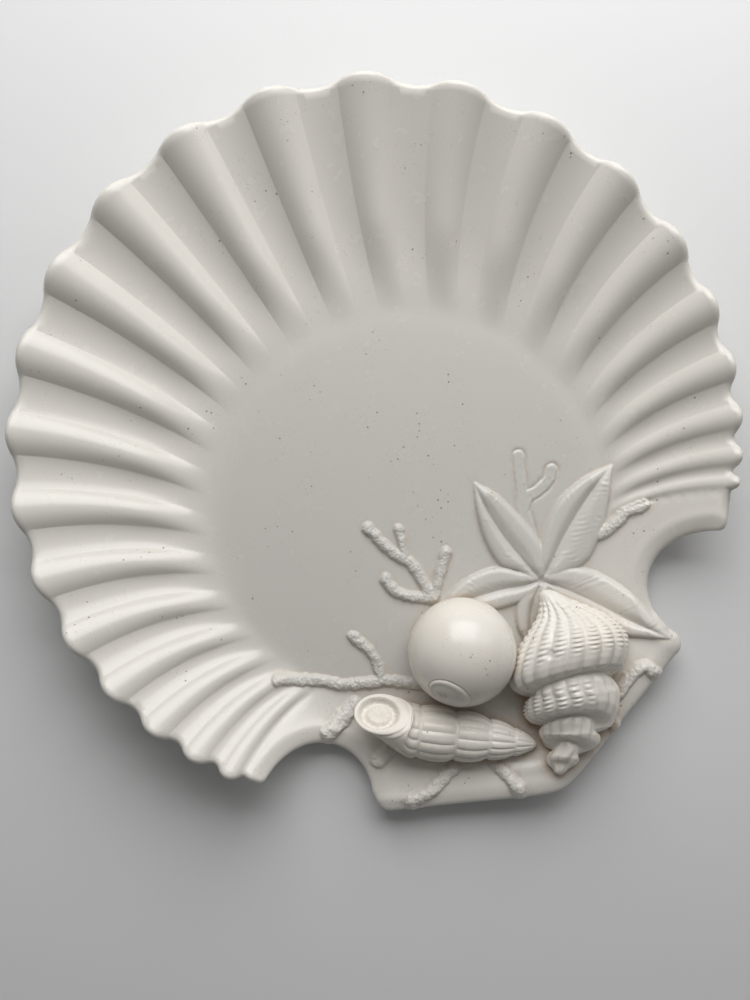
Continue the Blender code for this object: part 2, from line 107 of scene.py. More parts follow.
# Each leaf: its midrib from the root outwards, then its left and its right edge
LEAVES = (
    (((0.046, 0.101), (0.042, 0.118), (0.039, 0.134), (0.038, 0.151), (0.039, 0.167)),
     ((0.043, 0.102), (0.037, 0.112), (0.030, 0.120), (0.029, 0.136), (0.033, 0.153), (0.039, 0.167)),
     ((0.049, 0.103), (0.055, 0.116), (0.054, 0.130), (0.051, 0.143), (0.047, 0.155), (0.039, 0.167))),
    (((0.046, 0.101), (0.059, 0.110), (0.072, 0.119), (0.093, 0.131), (0.111, 0.139)),
     ((0.045, 0.104), (0.056, 0.120), (0.068, 0.131), (0.079, 0.137), (0.095, 0.140), (0.111, 0.139)),
     ((0.048, 0.100), (0.060, 0.099), (0.069, 0.098), (0.078, 0.101), (0.090, 0.111), (0.101, 0.124),
      (0.111, 0.139))),
    (((0.046, 0.101), (0.056, 0.090), (0.067, 0.075), (0.077, 0.060), (0.092, 0.041)),
     ((0.048, 0.103), (0.062, 0.101), (0.075, 0.091), (0.084, 0.075), (0.089, 0.058), (0.092, 0.041)),
     ((0.046, 0.097), (0.053, 0.077), (0.061, 0.063), (0.069, 0.055), (0.080, 0.048), (0.092, 0.041))),
    (((0.046, 0.101), (0.034, 0.104), (0.025, 0.107), (0.011, 0.110), (-0.016, 0.114)),
     ((0.044, 0.099), (0.036, 0.096), (0.025, 0.097), (0.012, 0.100), (-0.006, 0.105), (-0.016, 0.114)),
     ((0.045, 0.104), (0.040, 0.109), (0.029, 0.119), (0.016, 0.122), (0.003, 0.121), (-0.016, 0.114))),
    (((0.046, 0.101), (0.037, 0.093), (0.030, 0.084), (0.022, 0.070)),
     ((0.048, 0.098), (0.045, 0.088), (0.036, 0.076), (0.022, 0.070)),
     ((0.043, 0.101), (0.030, 0.098), (0.022, 0.086), (0.022, 0.070))),
)
# Each coral twig: its route, its radius and how far it rises
CORALS = (
    (((-0.012, 0.120), (-0.012, 0.132), (-0.013, 0.143), (-0.020, 0.156), (-0.025, 0.173)), 0.0031, 0.0026),
    (((-0.0140, 0.150), (-0.010, 0.164)), 0.0027, 0.0022),
    (((-0.0110, 0.121), (-0.002, 0.131), (0.007, 0.140)), 0.0032, 0.0030),
    (((-0.012, 0.121), (-0.021, 0.127), (-0.028, 0.134), (-0.030, 0.143)), 0.0031, 0.0026),
    (((-0.040, 0.082), (-0.050, 0.089), (-0.058, 0.094), (-0.068, 0.098), (-0.079, 0.103), (-0.090, 0.112),
      (-0.108, 0.123)), 0.0033, 0.0025),
    (((-0.058, 0.094), (-0.056, 0.104), (-0.057, 0.114), (-0.061, 0.124)), 0.0029, 0.0024),
    (((-0.078, 0.090), (-0.097, 0.084)), 0.0045, 0.0030),
    (((-0.062, 0.066), (-0.070, 0.061), (-0.080, 0.058)), 0.0042, 0.0026),
    (((-0.033, 0.035), (-0.042, 0.036), (-0.052, 0.034), (-0.062, 0.031), (-0.074, 0.031)), 0.0038, 0.0028),
    (((-0.025, 0.029), (-0.022, 0.019), (-0.020, 0.009)), 0.0038, 0.0028),
    (((0.050, 0.028), (0.058, 0.032), (0.064, 0.034), (0.0715, 0.0350), (0.0745, 0.0300)), 0.0036, 0.0032),
    (((0.0430, 0.0240), (0.0415, 0.0145)), 0.0036, 0.0032),
    (((0.0865, 0.1080), (0.0945, 0.1090), (0.1040, 0.1122), (0.1140, 0.1118)), 0.0034, 0.0030),
)
# Twigs that are only outlined in the clay
FAINT_CORALS = (
    (((0.0530, 0.1260), (0.0552, 0.1351), (0.0555, 0.1411), (0.0589, 0.1473), (0.0618, 0.1540),
      (0.0649, 0.1618), (0.0680, 0.1680)), 0.0031),
    (((0.0560, 0.1400), (0.0616, 0.1450), (0.0691, 0.1458), (0.0761, 0.1482), (0.0805, 0.1525)), 0.0031),
)
# Low ridges in the clay along the hinge's edge: route, half width and rise
RIDGES = (
    (((-0.036, 0.034), (-0.016, 0.019), (0.004, 0.012)), 0.0040, 0.0010),
    (((-0.088, 0.040), (-0.070, 0.030)), 0.0035, 0.0007),
    (((0.006, 0.024), (0.022, 0.010), (0.034, 0.008)), 0.0035, 0.0006),
)


def hinge_place(place):
    return (RELIEF_SPOT[0] + place[0], HINGE_Y + RELIEF_SPOT[1] + place[1])


# Shape maths, on arrays
def ease(share):
    share = np.clip(share, 0.0, 1.0)
    return share * share * (3 - 2 * share)


def higher(first, second, blend):
    """The higher of two surfaces, with a soft hollow of glaze where they meet."""
    gap = np.maximum(blend - np.abs(first - second), 0)
    return np.maximum(first, second) + gap * gap / (4 * blend)


def waves(x, y, size, seed=0.0):
    """Soft bumps of about this size, from -1 to 1."""
    return np.array([noise.noise((a / size, b / size, seed)) for a, b in zip(x, y)])


def dish_height(x, y):
    """The top surface without ribs."""
    distance = np.maximum(np.hypot(x, y + WELL_SHIFT), 1e-6)
    ahead = -WELL_SHIFT * (y + WELL_SHIFT) / distance
    full = np.sqrt(ahead ** 2 + FAN_RADIUS ** 2 - WELL_SHIFT ** 2) - ahead - WELL_RADIUS
    share = np.maximum((distance - WELL_RADIUS) / full, 0)
    turn = np.abs(np.arctan2(-x, y + WELL_SHIFT))
    height = FAN_HEIGHT + (HINGE_HEIGHT - FAN_HEIGHT) * ease((turn - LOW_SIDE_START) / LOW_SIDE_RUN)
    bend = np.where(share < 1, share ** DISH_CURVE, 1 + DISH_CURVE * (share - 1))
    return WALL + (height - WALL) * bend


def rib_angle(index):
    """Where rib number index meets the rim. The ribs crowd towards the hinge."""
    lean = RIB_LEAN * np.sin(pi * np.abs(index) / RIB_LEAN_RUN) ** 2
    return MIDDLE_RIB_ANGLE + RIB_SPREAD * index - RIB_CROWDING * index ** 3 - lean


def sharp_profile(index):
    offset = np.abs(index - np.round(index))
    half = RIB_SHARE / 2
    return np.where(offset < half, 1 - (offset / half) ** 2, ((offset - 0.5) / (0.5 - half)) ** 2 - 1)


def rib_profile(index):
    """-1 mid channel, 0 at a rib's foot, 1 along its crest, with its creases filled by glaze."""
    soft = CREASE_SOFTNESS
    return (sharp_profile(index - soft) + 2 * sharp_profile(index) + sharp_profile(index + soft)) / 4


def along(turn, share):
    """A point of the rib line that meets the rim at this angle, from the well's edge (0) to the rim (1)."""
    inner = turn - INNER_LEAN * np.sin(turn)
    well_x, well_y = -WELL_RADIUS * np.sin(inner), WELL_RADIUS * np.cos(inner) - WELL_SHIFT
    run_x, run_y = -FAN_RADIUS * np.sin(turn) - well_x, FAN_RADIUS * np.cos(turn) - well_y
    length = np.hypot(run_x, run_y)
    bow = 4 * RIB_BOW * share * (1 - share) * np.sin(turn)
    return well_x + run_x * share + run_y / length * bow, well_y + run_y * share - run_x / length * bow


NEWTON_STEPS = 14
RIB_TABLE = np.linspace(-RIBS_PER_SIDE - 1.2, RIBS_PER_SIDE + 1.2, 2001)


def rib_place(x, y):
    """The rib index and the share of the wall at each point, by Newton's steps."""
    turn = np.arctan2(-x, y)
    distance = np.hypot(x, y + WELL_SHIFT)
    share = np.clip((distance - WELL_RADIUS) / 0.08, 0, 1)
    step = 1e-4
    for _ in range(NEWTON_STEPS):
        at_x, at_y = along(turn, share)
        turned_x, turned_y = along(turn + step, share)
        moved_x, moved_y = along(turn, share + step)
        a, b = (turned_x - at_x) / step, (moved_x - at_x) / step
        c, d = (turned_y - at_y) / step, (moved_y - at_y) / step
        det = a * d - b * c
        miss_x, miss_y = x - at_x, y - at_y
        turn = turn + np.clip((d * miss_x - b * miss_y) / det, -0.2, 0.2)
        share = share + np.clip((a * miss_y - c * miss_x) / det, -0.3, 0.3)
    return np.interp(turn, rib_angle(RIB_TABLE), RIB_TABLE), share


def ribs_here(x, y):
    """Height of the ribs and depth of the channels at each point of the wall."""
    index, share = rib_place(x, y)
    on_fan = np.abs(index) < RIBS_PER_SIDE + 0.5
    beyond = np.clip((np.abs(index) - RIBS_PER_SIDE - 0.5) / 0.3, 0, 1)
    profile = np.where(on_fan, rib_profile(index), beyond - 1)
    pitch = np.abs(rib_angle(index + 0.5) - rib_angle(index - 0.5)) / RIB_SPREAD
    amount = np.where(profile > 0, RIB_HEIGHT * profile * pitch, CHANNEL_DEPTH * profile)
    return amount * ease(share / RIB_FADE)


# The outline, counter-clockwise from the fan's last rib on the right
def hinge_edge(x):
    soft = HINGE_POINT_ROUNDING
    return (x, HINGE_Y - soft + sqrt(soft ** 2 + (x * tan(HINGE_SLOPE)) ** 2))


def softened(before, corner, after, steps=7):
    """A rounded corner between two points beside it."""
    first, middle, last = Vector(before), Vector(corner), Vector(after)
    return [tuple(first * (1 - t) ** 2 + middle * 2 * t * (1 - t) + last * t ** 2)
            for t in (k / steps for k in range(steps + 1))]


def side_line(notch_angle, flare, step=1.2 * MM):
    """The left outline from the last rib to the hinge's point: ear, notch, hinge corner and hinge edge."""
    reach = FAN_RADIUS + NOTCH_OFFSET
    centre = Vector((-reach * sin(pi - notch_angle), reach * cos(pi - notch_angle)))
    bite = acos((FAN_RADIUS ** 2 + reach ** 2 - NOTCH_RADIUS ** 2) / (2 * FAN_RADIUS * reach))
    ear_angle = pi - notch_angle - bite
    last_rib = float(rib_angle(np.float64(RIBS_PER_SIDE + 0.5)))

    def fan(angle):
        inset = RIM_GAP + LOBE * (1 - float(ease(np.float64((angle - last_rib) / (ear_angle - last_rib)))))
        return (-(FAN_RADIUS - inset) * sin(angle), (FAN_RADIUS - inset) * cos(angle))

    def notch(angle):
        return (centre.x + NOTCH_RADIUS * cos(angle), centre.y + NOTCH_RADIUS * sin(angle))

    ear = fan(ear_angle)
    start = atan2(ear[1] - centre.y, ear[0] - centre.x)
    end = -acos((NOTCH_RADIUS - flare) / NOTCH_RADIUS)
    ear_run, notch_run = EAR_RUN / FAN_RADIUS, EAR_RUN / NOTCH_RADIUS
    count = int((ear_angle - ear_run - last_rib) * FAN_RADIUS / step)
    points = [fan(last_rib + (ear_angle - ear_run - last_rib) * k / count) for k in range(1, count)]
    points += softened(fan(ear_angle - ear_run), ear, notch(start - notch_run))
    count = int((start - notch_run - end) * NOTCH_RADIUS / step)
    points += [notch(start - notch_run + (end - start + notch_run) * k / count) for k in range(1, count + 1)]
    side = centre.x + NOTCH_RADIUS - flare
    corner = hinge_edge(side)
    above = (side, corner[1] + CORNER_ROUNDING)
    count = int((points[-1][1] - above[1]) / step)
    points += [(side, points[-1][1] + (above[1] - points[-1][1]) * k / count) for k in range(1, count)]
    after = side + CORNER_ROUNDING * cos(HINGE_SLOPE)
    points += softened(above, corner, hinge_edge(after))
    count = int(-after / step)
    points += [hinge_edge(after * (1 - k / count)) for k in range(1, count + 1)]
    return points


def outline(per_rib=26):
    """The rim's outer edge, and how many of its points lie on the ribbed fan. They come first."""
    index = np.linspace(-RIBS_PER_SIDE - 0.5, RIBS_PER_SIDE + 0.5, (2 * RIBS_PER_SIDE + 1) * per_rib + 1)
    reach = FAN_RADIUS - RIM_GAP + LOBE * rib_profile(index)
    turn = rib_angle(index)
    fan = np.stack([-reach * np.sin(turn), reach * np.cos(turn)], axis=1)
    left, mirrored = (np.array(side_line(angle, flare)) for angle, flare in zip(NOTCH_ANGLES, HINGE_FLARES))
    right = mirrored[::-1][1:] * (-1, 1)
    return np.concatenate([fan, left, right]), len(fan)


def outward(points):
    """Unit normals of a closed, counter-clockwise line."""
    run = np.roll(points, -1, axis=0) - np.roll(points, 1, axis=0)
    normal = np.stack([run[:, 1], -run[:, 0]], axis=1)
    return normal / np.linalg.norm(normal, axis=1)[:, None]


def path_field(path, x, y, closed=False):
    """Distance to a path, and the share of its length where the nearest place is."""
    path = np.asarray(path, float)
    ends = np.roll(path, -1, axis=0) if closed else path[1:]
    starts = path if closed else path[:-1]
    lengths = np.linalg.norm(ends - starts, axis=1)
    before = np.concatenate([[0], np.cumsum(lengths)])
    nearest, place = np.full(x.shape, 1e9), np.zeros(x.shape)
    for k, (a, b) in enumerate(zip(starts, ends)):
        run = b - a
        t = np.clip(((x - a[0]) * run[0] + (y - a[1]) * run[1]) / (run @ run), 0, 1)
        distance = np.hypot(x - a[0] - t * run[0], y - a[1] - t * run[1])
        closer = distance < nearest
        nearest = np.where(closer, distance, nearest)
        place = np.where(closer, (before[k] + t * lengths[k]) / before[-1], place)
    return nearest, place


def inside(loop, x, y):
    """Which points lie inside a closed line."""
    found = np.zeros(x.shape, bool)
    for a, b in zip(loop, np.roll(loop, -1, axis=0)):
        if a[1] == b[1]:
            continue
        crosses = (a[1] > y) != (b[1] > y)
        found ^= crosses & (x < (b[0] - a[0]) * (y - a[1]) / (b[1] - a[1]) + a[0])
    return found


def smooth_path(points, steps=6):
    """A soft line through a few points."""
    points = [np.array(hinge_place(point)) for point in points]
    points = [2 * points[0] - points[1]] + points + [2 * points[-1] - points[-2]]
    line = []
    for p0, p1, p2, p3 in zip(points, points[1:], points[2:], points[3:]):
        for t in (k / steps for k in range(steps)):
            line.append(0.5 * (2 * p1 + (p2 - p0) * t + (2 * p0 - 5 * p1 + 4 * p2 - p3) * t ** 2
                               + (3 * p1 - p0 - 3 * p2 + p3) * t ** 3))
    return np.array(line + [points[-2]])


# The low relief, as height over the dish
def leaf_lift(leaf, x, y):
    """Height of one leaf over the dish, and the distance outside its edge."""
    midrib, left, right = (smooth_path(line) for line in leaf)
    loop = np.concatenate([left, right[::-1]])
    length = np.linalg.norm(np.diff(midrib, axis=0), axis=1).sum()
    middle, place = path_field(midrib, x, y)
    edge, _ = path_field(loop, x, y, closed=True)
    within = inside(loop, x, y)
    width = middle + edge
    across = np.where(within, middle / np.maximum(width, 1e-6), 1)
    valley = 1 - LEAF_VALLEY * np.clip(1 - across / VALLEY_REACH, 0, 1) ** 1.7 * ease((0.97 - place) / 0.25)
    brow = (1 - np.clip(across, 0, 1) ** 6) ** 0.5
    full = np.clip(width / (7 * MM), 0, 1) ** 0.7
    wander = waves(x, y, 7 * MM, 2.0 + length)
    folds = np.sin(2 * pi * ((place * length - middle * 0.9) / FOLD_PITCH + 0.6 * wander))
    inner = np.clip(across * 4, 0, 1) * np.clip((1 - across) * 4, 0, 1)
    folded = inner * np.clip(0.2 + 1.6 * wander, 0, 1)
    lift = np.where(within, LEAF_RISE * full * valley * brow + FOLD_RISE * folds * folded, -edge * 0.8)
    return lift, np.where(within, -edge, edge)


def twig_lift(twig, x, y, rough):
    """Height of one nubby twig over the dish, and the distance outside it."""
    route, radius, rise = twig
    distance, _ = path_field(smooth_path(route), x, y)
    radius = radius * (1 + TWIG_ROUGHNESS * rough)
    across = distance / radius
    crown = np.where(across < 1, np.clip(1 - across ** 2.4, 0, 1) ** 0.6, -(across - 1) * 1.2)
    return rise * crown, distance - radius


def low_relief(x, y, base):
    """The surface with the relief, how far each point lies outside leaves and corals, and where coral is."""
    nubs = waves(x, y, NUB_SIZE, 1.0)
    pits = waves(x, y, PIT_SIZE, 5.0)
    surface = base
    for route, width, rise in RIDGES:
        distance, _ = path_field(smooth_path(route), x, y)
        surface = surface + rise * ease(1 - distance / width)
    faint = np.full(x.shape, 1.0)
    for route, radius in FAINT_CORALS:
        distance, _ = path_field(smooth_path(route), x, y)
        faint = np.minimum(faint, distance - radius * (1 + OUTLINE_ROUGHNESS * nubs))
    reach = faint
    surface = surface + OUTLINE_RISE * ease(0.5 - faint / (1.2 * MM)) * (1 + 0.5 * pits)
    surface = surface - OUTLINE_GROOVE * np.exp(-((faint - 0.3 * MM) / (0.62 * MM)) ** 2)
    corals = np.full(x.shape, -1.0)
    for twig in CORALS:
        lift, outside = twig_lift(twig, x, y, nubs)
        corals = higher(corals, lift, 1.0 * MM)
        reach = np.minimum(reach, outside)
    on_coral = np.clip(corals / (1.4 * MM), 0, 1)
    pitted = PIT_DEPTH * np.clip(np.abs(pits) - 0.06, 0, 1) ** 0.8
    corals = corals + on_coral * (NUB_RISE * nubs - pitted)
    surface = higher(surface, base + corals, 0.8 * MM)
    leaves = np.full(x.shape, -1.0)
    for leaf in LEAVES:
        lift, outside = leaf_lift(leaf, x, y)
        leaves = higher(leaves, lift, 0.45 * MM)
        reach = np.minimum(reach, outside)
    surface = higher(surface, base + leaves, 0.7 * MM)
    return surface, reach, on_coral * (leaves < 0.5 * MM)


RIM, FAN_POINTS = outline()
RIM_NORMAL = outward(RIM)
LIP = WALL / 2
TOP_EDGE = RIM - RIM_NORMAL * LIP
SIDES = RIM[FAN_POINTS:]
EAR_POINTS = 12  # the first and last points of the sides lie on the fan's own rim


def shoulder(x, y):
    """How far the surface rolls down beside the notches and the hinge."""
    near = y < -0.10
    drop = np.zeros(x.shape)
    if near.any():
        distance, _ = path_field(SIDES[EAR_POINTS:-EAR_POINTS], x[near], y[near])
        crest = CREST * np.exp(-((distance - 0.95 * SHOULDER_WIDTH) / CREST_WIDTH) ** 2)
        roll = SHOULDER_DROP * np.clip(1 - distance / SHOULDER_WIDTH, 0, 1) ** 2
        drop[near] = roll - crest * ease((y[near] - CREST_END) / CREST_FADE)
    return drop


def bare_surface(x, y):
    """The dish with its ribs and shoulders, without the relief."""
    outside_well = np.hypot(x, y + WELL_SHIFT) > WELL_RADIUS
    return dish_height(x, y) + np.where(outside_well, ribs_here(x, y), 0) - shoulder(x, y)


def hex_grid(step, low, high):
    """Evenly spread points between two corners."""
    rows = np.arange(low[1], high[1], step * sqrt(3) / 2)
    columns = np.arange(low[0], high[0], step)
    x, y = np.meshgrid(columns, rows)
    x = x + np.where(np.arange(len(rows)) % 2, step / 2, 0)[:, None]
    return x.ravel(), y.ravel()


def crowded(low, high, count):
    """Values from low to high that lie closer together towards both ends."""
    return low + (high - low) * (1 - np.cos(np.linspace(0, pi, count))) / 2


def fan_points(per_pitch, rows):
    """Points along the ribs and channels."""
    foot = RIB_SHARE / 2
    x, y = [], []
    for rib in range(-RIBS_PER_SIDE, RIBS_PER_SIDE + 1):
        pitch = (rib_angle(rib + 0.5) - rib_angle(rib - 0.5)) / RIB_SPREAD
        across = max(8, int(per_pitch * pitch))
        on_rib = max(4, int(across * RIB_SHARE))
        channel = crowded(foot, 1 - foot, across - on_rib + 2)[1:-1]
        offsets = np.concatenate([crowded(-foot, foot, on_rib), channel])
        turn, share = np.meshgrid(rib_angle(rib + offsets), rows)
        at_x, at_y = along(turn.ravel(), share.ravel())
        x.append(at_x)
        y.append(at_y)
    return np.concatenate(x), np.concatenate(y)


def clear_of(loop, x, y, gap):
    """Keeps the points that lie inside a closed line and clear of it."""
    keep = inside(loop, x, y)
    x, y = x[keep], y[keep]
    distance, _ = path_field(loop, x, y, closed=True)
    keep = distance > gap
    return x[keep], y[keep]


def triangulated(edge, x, y):
    """Triangles over the points and inside the edge, whose points come first."""
    spots = [Vector(point) * 1000 for point in edge] + [Vector((a, b)) * 1000 for a, b in zip(x, y)]
    count = len(edge)
    sides = [(k, (k + 1) % count) for k in range(count)]
    _, _, faces, came_from, _, _ = delaunay_2d_cdt(spots, sides, [], 1, 1e-5)
    first = [ids[0] if ids else -1 for ids in came_from]
    return [tuple(first[k] for k in face) for face in faces]


def beside_fan(x, y):
    """Points that no rib covers: the well, and the ground between the last ribs and the hinge."""
    index, _ = rib_place(x, y)
    in_well = np.hypot(x, y + WELL_SHIFT) < WELL_RADIUS - 1.5 * MM
    return in_well | (np.abs(index) > RIBS_PER_SIDE + 0.55)


# The platter's points: rows up the wall as shares of it, how many across a rib's pitch, and steps elsewhere
TOP_ROWS = np.concatenate([np.linspace(0.01, 0.90, 30), [0.93, 0.955]])
UNDER_ROWS = np.linspace(0.05, 0.90, 12)
TOP_PER_PITCH, UNDER_PER_PITCH = 34, 8
TOP_STEP, FINE_STEP, UNDER_STEP = 2.2 * MM, 0.72 * MM, 5 * MM
FINE_AREA = ((-0.13, -0.214), (0.14, -0.02))
FINE_MARGIN = 1.8 * MM  # the fine points reach this far round the relief
COARSE_MARGIN = 2.4 * MM  # and the coarse ones start here


def spread(per_pitch, rows, step, gap):
    """Points along the ribs and over the rest of the dish, this far inside the edge."""
    x, y = fan_points(per_pitch, rows)
    grid_x, grid_y = hex_grid(step, (-0.2, -0.22), (0.2, 0.2))
    keep = beside_fan(grid_x, grid_y)
    x, y = np.concatenate([x, grid_x[keep]]), np.concatenate([y, grid_y[keep]])
    return clear_of(TOP_EDGE, x, y, gap)


def near_relief(x, y):
    """How far each point lies outside the leaves and corals."""
    _, reach, _ = low_relief(x, y, np.zeros(x.shape))
    return reach


def top_points():
    """Points over the top: a coarse spread, and a fine one over the relief."""
    x, y = spread(TOP_PER_PITCH, TOP_ROWS, TOP_STEP, 1.0 * MM)
    keep = near_relief(x, y) > COARSE_MARGIN
    x, y = x[keep], y[keep]
    fine_x, fine_y = clear_of(TOP_EDGE, *hex_grid(FINE_STEP, *FINE_AREA), 0.6 * MM)
    keep = near_relief(fine_x, fine_y) < FINE_MARGIN
    return np.concatenate([x, fine_x[keep]]), np.concatenate([y, fine_y[keep]])


def under_height(x, y):
    """The underside follows the top at the wall's thickness, down to the flat base."""
    above = bare_surface(x, y)
    step = 0.5 * MM
    slope_x, slope_y = bare_surface(x + step, y) - above, bare_surface(x, y + step) - above
    slope = np.clip(np.hypot(slope_x, slope_y) / step, 0, 1.2)
    return np.maximum(above - WALL * np.sqrt(1 + slope ** 2), 0)


def platter_mesh():
    """Points and faces, then how far the top's points lie outside the relief, and where coral is."""
    x, y = top_points()
    top_faces = triangulated(TOP_EDGE, x, y)
    top_x, top_y = np.concatenate([TOP_EDGE[:, 0], x]), np.concatenate([TOP_EDGE[:, 1], y])
    top_z, reach, coral = low_relief(top_x, top_y, bare_surface(top_x, top_y))
    under_x, under_y = spread(UNDER_PER_PITCH, UNDER_ROWS, UNDER_STEP, 2.0 * MM)
    under_faces = triangulated(TOP_EDGE, under_x, under_y)
    under_z = under_height(under_x, under_y)
    # One closed mesh: top, half-round lip, underside
    count = len(TOP_EDGE)
    crown = top_z[:count]
    points = [np.stack([top_x, top_y, top_z], axis=1)]
    rings = [np.arange(count)]
    offset = len(top_x)
    for angle in np.radians((60, 30, 0, -30, -60, -90)):
        ring = TOP_EDGE + RIM_NORMAL * LIP * cos(angle)
        height = crown - LIP + LIP * sin(angle)
        points.append(np.column_stack([ring, height]))
        rings.append(np.arange(offset, offset + count))
        offset += count
    points.append(np.stack([under_x, under_y, under_z], axis=1))
    faces = list(top_faces)
    for upper, lower in zip(rings, rings[1:]):
        for k in range(count):
            after = (k + 1) % count
            faces.append((upper[after], upper[k], lower[k], lower[after]))
    last = rings[-1]
    for face in under_faces:
        faces.append(tuple(last[k] if k < count else offset + k - count for k in reversed(face)))
    return np.concatenate(points), faces, reach, coral


def object_from(name, points, faces, material, flat=False):
    mesh = bpy.data.meshes.new(name)
    corners = [tuple(map(float, point)) for point in points]
    mesh.from_pydata(corners, [], [tuple(map(int, face)) for face in faces])
    mesh.materials.append(material)
    if not flat:
        mesh.shade_smooth()
    mesh.validate()
    obj = bpy.data.objects.new(name, mesh)
    bpy.context.scene.collection.objects.link(obj)
    return obj


def dress(piece):
    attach(piece, "root")
    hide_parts("shell_platter")


# The shells in high relief
def turned_shell(name, rings, material, seat):
    """Skins rings of points from one end to the other, closes both ends and beds the shell in the dish."""
    points = np.concatenate(rings)
    floor = dish_height(points[:, 0], points[:, 1]) - seat
    points[:, 2] = np.maximum(points[:, 2], floor)
    count = len(rings[0])
    faces = []
    for row in range(len(rings) - 1):
        for k in range(count):
            after = (k + 1) % count
            below, above = row * count, (row + 1) * count
            faces.append((below + k, below + after, above + after, above + k))
    total = len(points)
    ends = np.array([rings[0].mean(axis=0), rings[-1].mean(axis=0)])
    ends[:, 2] = np.maximum(ends[:, 2], dish_height(ends[:, 0], ends[:, 1]) - seat)
    last = (len(rings) - 1) * count
    for k in range(count):
        after = (k + 1) % count
        faces.append((after, k, total))
        faces.append((last + k, last + after, total + 1))
    return object_from(name, np.concatenate([points, ends]), faces, material)


def lifted(place, rise):
    """A point this far above the dish."""
    x, y = hinge_place(place)
    return np.array([x, y, float(dish_height(np.array([x]), np.array([y]))[0]) + rise])


def unit(vector):
    return vector / np.linalg.norm(vector)


def smooth_profile(profile, blur):
    """A profile with its corners rounded over this share of the length. All but its stations are in mm."""
    columns = np.array(profile).T
    fine = np.linspace(0, 1, 2001)
    reach = int(3 * blur * 2000)
    weights = np.exp(-0.5 * (np.arange(-reach, reach + 1) / (blur * 2000)) ** 2)
    weights = weights / weights.sum()
    smooth = [fine]
    for column in columns[1:]:
        values = np.interp(fine, columns[0], column) * MM
        padded = np.concatenate([np.full(reach, values[0]), values, np.full(reach, values[-1])])
        smooth.append(np.convolve(padded, weights, "valid"))
    return smooth


# Stations along the whelk as a share of its length, the radius there in mm, and how far it bows to the right
WHELK_PROFILE = (
    (0.0, 0.8, -0.9), (0.010, 3.0, -0.6), (0.022, 3.9, -0.2), (0.030, 4.4, 0.2), (0.045, 7.4, 0.8),
    (0.070, 9.0, 1.4), (0.095, 8.8, 2.2), (0.106, 7.9, 2.8), (0.112, 7.6, 3.4), (0.120, 9.8, 4.2),
    (0.135, 13.2, 5.2),
    (0.160, 15.6, 6.2), (0.190, 16.6, 6.3), (0.216, 16.2, 6.5), (0.226, 14.6, 6.7), (0.232, 14.8, 6.9),
    (0.242, 18.6, 7.2), (0.262, 22.4, 7.6), (0.300, 24.8, 8.3), (0.350, 25.6, 9.1), (0.395, 25.2, 9.6),
    (0.424, 23.8, 9.6), (0.436, 22.2, 9.4), (0.444, 22.8, 9.0), (0.456, 26.6, 8.4), (0.480, 29.8, 8.0),
    (0.520, 31.2, 8.0), (0.560, 31.6, 8.6), (0.600, 31.4, 9.6), (0.660, 29.9, 11.0), (0.720, 26.8, 12.0),
    (0.775, 22.4, 12.2), (0.820, 18.0, 11.6), (0.860, 13.6, 9.2), (0.890, 10.4, 6.8), (0.915, 8.0, 4.8),
    (0.935, 6.4, 3.2), (0.950, 4.8, 2.2), (0.958, 3.2, 1.8), (0.962, 1.4, 1.6), (1.0, 1.0, 1.4))
WHELK_END = 0.962
WHELK_TIP = (0.0038, 0.0078)
WHELK_SIPHON = (0.0446, 0.1015)
SUTURES = (0.109, 0.229, 0.440)
# Whorl by whorl, from the tip to the body: ribs, where the first one stands, and how high they are in mm
WHORL_RIBS = np.array((7, 15, 19, 21))
RIB_STARTS = np.array((0.1, 0.3, 0.05, 0.5))
WHORL_RIB_HEIGHTS = np.array((1.1, 1.1, 1.35, 1.7))
BEAD_PITCH = 2.95 * MM
BEAD_RISE = 0.85 * MM
CHIP_PLACE = (0.655, radians(120))
CHIP_DEPTH = 1.1 * MM
WHELK_SLANTS = ((0, 0.12, 0.24, 0.44), (0, -0.028, -0.044, 0.034))  # stations, and how the whorls slant there
WHELK_TILT = 0.098  # how far the whorls tilt over its top, as a share of its length
WHELK_RINGS = 310
WHELK_SEAT = 2.6 * MM  # how deep it is bedded in the dish


